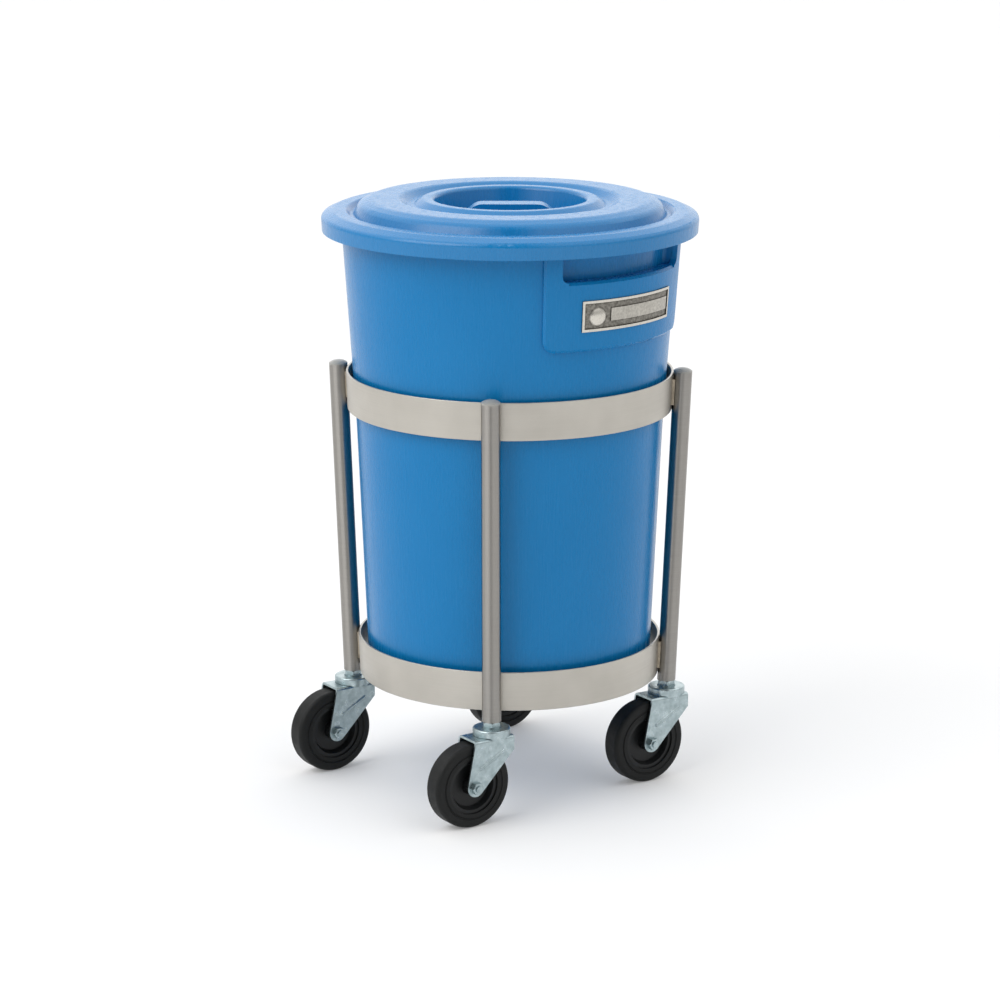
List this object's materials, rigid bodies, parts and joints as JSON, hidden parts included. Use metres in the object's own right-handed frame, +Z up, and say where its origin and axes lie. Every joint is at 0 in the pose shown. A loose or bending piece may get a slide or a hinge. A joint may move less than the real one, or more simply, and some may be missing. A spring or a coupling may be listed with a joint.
{
  "type": "wheeled bin",
  "caption": "Round tapered plastic bin with a lift-off lid, standing in a stainless tube cart with flat hoops on swivel casters.",
  "frame": {"origin": "on the floor, at the middle of the footprint with all casters trailing one way", "axes": "+Z up; -Y towards the front upright, +X towards the right upright"},
  "size_m": [0.484, 0.4748, 0.705],
  "materials": {
    "blue_plastic": "moulded gloss",
    "stainless_steel": "satin",
    "zinc_plated_steel": "bright zinc plate",
    "bearing_steel": "ground",
    "cast_plate": "plated, raised border",
    "black_rubber": "matt moulded rubber",
    "black_plastic": "moulded",
    "cap_plastic": "grey moulded plug"
  },
  "bodies": {
    "cart": {"base_bar_halves": "stainless_steel", "base_bar_long": "stainless_steel", "caster_stem_back": "zinc_plated_steel", "caster_stem_front": "zinc_plated_steel", "caster_stem_left": "zinc_plated_steel", "caster_stem_right": "zinc_plated_steel", "hoop_welds": "stainless_steel", "lower_hoop": "stainless_steel", "raceway_cup_back": "zinc_plated_steel", "raceway_cup_front": "zinc_plated_steel", "raceway_cup_left": "zinc_plated_steel", "raceway_cup_right": "zinc_plated_steel", "stem_nuts": "zinc_plated_steel", "stem_socket_back": "stainless_steel", "stem_socket_front": "stainless_steel", "stem_socket_left": "stainless_steel", "stem_socket_right": "stainless_steel", "stem_washers": "zinc_plated_steel", "upper_hoop": "stainless_steel", "upright_back": "stainless_steel", "upright_cap_back": "cap_plastic", "upright_cap_front": "cap_plastic", "upright_cap_left": "cap_plastic", "upright_cap_right": "cap_plastic", "upright_front": "stainless_steel", "upright_left": "stainless_steel", "upright_right": "stainless_steel"},
    "bin": {"bin_body": "blue_plastic", "nameplate": "cast_plate"},
    "lid": {"lid": "blue_plastic"},
    "caster_front": {"caster_fork_front": "zinc_plated_steel", "swivel_balls_front": "bearing_steel", "axle_sleeve_front": "zinc_plated_steel", "axle_bolt_front": "zinc_plated_steel", "axle_nut_front": "zinc_plated_steel"},
    "wheel_front": {"wheel_hub_front": "black_plastic", "wheel_tyre_front": "black_rubber"},
    "caster_right": {"caster_fork_right": "zinc_plated_steel", "swivel_balls_right": "bearing_steel", "axle_sleeve_right": "zinc_plated_steel", "axle_bolt_right": "zinc_plated_steel", "axle_nut_right": "zinc_plated_steel"},
    "wheel_right": {"wheel_hub_right": "black_plastic", "wheel_tyre_right": "black_rubber"},
    "caster_back": {"caster_fork_back": "zinc_plated_steel", "swivel_balls_back": "bearing_steel", "axle_sleeve_back": "zinc_plated_steel", "axle_bolt_back": "zinc_plated_steel", "axle_nut_back": "zinc_plated_steel"},
    "wheel_back": {"wheel_hub_back": "black_plastic", "wheel_tyre_back": "black_rubber"},
    "caster_left": {"caster_fork_left": "zinc_plated_steel", "swivel_balls_left": "bearing_steel", "axle_sleeve_left": "zinc_plated_steel", "axle_bolt_left": "zinc_plated_steel", "axle_nut_left": "zinc_plated_steel"},
    "wheel_left": {"wheel_hub_left": "black_plastic", "wheel_tyre_left": "black_rubber"}
  },
  "joints": [
    {"name": "bin_lift", "type": "slide", "parent": "cart", "child": "bin", "axis": [0, 0, 1], "range_m": [0, 0.4]},
    {"name": "lid_lift", "type": "slide", "parent": "bin", "child": "lid", "axis": [0, 0, 1], "range_m": [0, 0.08]},
    {"name": "swivel_front", "type": "hinge", "parent": "cart", "child": "caster_front", "pos_m": [0.01955, -0.17661, 0.1055], "axis": [0, 0, 1], "continuous": true},
    {"name": "roll_front", "type": "hinge", "parent": "caster_front", "child": "wheel_front", "pos_m": [-0.00588, -0.19764, 0.05], "axis": [-0.6374, 0.7705, 0], "continuous": true},
    {"name": "swivel_right", "type": "hinge", "parent": "cart", "child": "caster_right", "pos_m": [0.21105, 0.01489, 0.1055], "axis": [0, 0, 1], "continuous": true},
    {"name": "roll_right", "type": "hinge", "parent": "caster_right", "child": "wheel_right", "pos_m": [0.18562, -0.00614, 0.05], "axis": [-0.6374, 0.7705, 0], "continuous": true},
    {"name": "swivel_back", "type": "hinge", "parent": "cart", "child": "caster_back", "pos_m": [0.01955, 0.20639, 0.1055], "axis": [0, 0, 1], "continuous": true},
    {"name": "roll_back", "type": "hinge", "parent": "caster_back", "child": "wheel_back", "pos_m": [-0.00588, 0.18536, 0.05], "axis": [-0.6374, 0.7705, 0], "continuous": true},
    {"name": "swivel_left", "type": "hinge", "parent": "cart", "child": "caster_left", "pos_m": [-0.17195, 0.01489, 0.1055], "axis": [0, 0, 1], "continuous": true},
    {"name": "roll_left", "type": "hinge", "parent": "caster_left", "child": "wheel_left", "pos_m": [-0.19738, -0.00614, 0.05], "axis": [-0.6374, 0.7705, 0], "continuous": true}
  ]
}
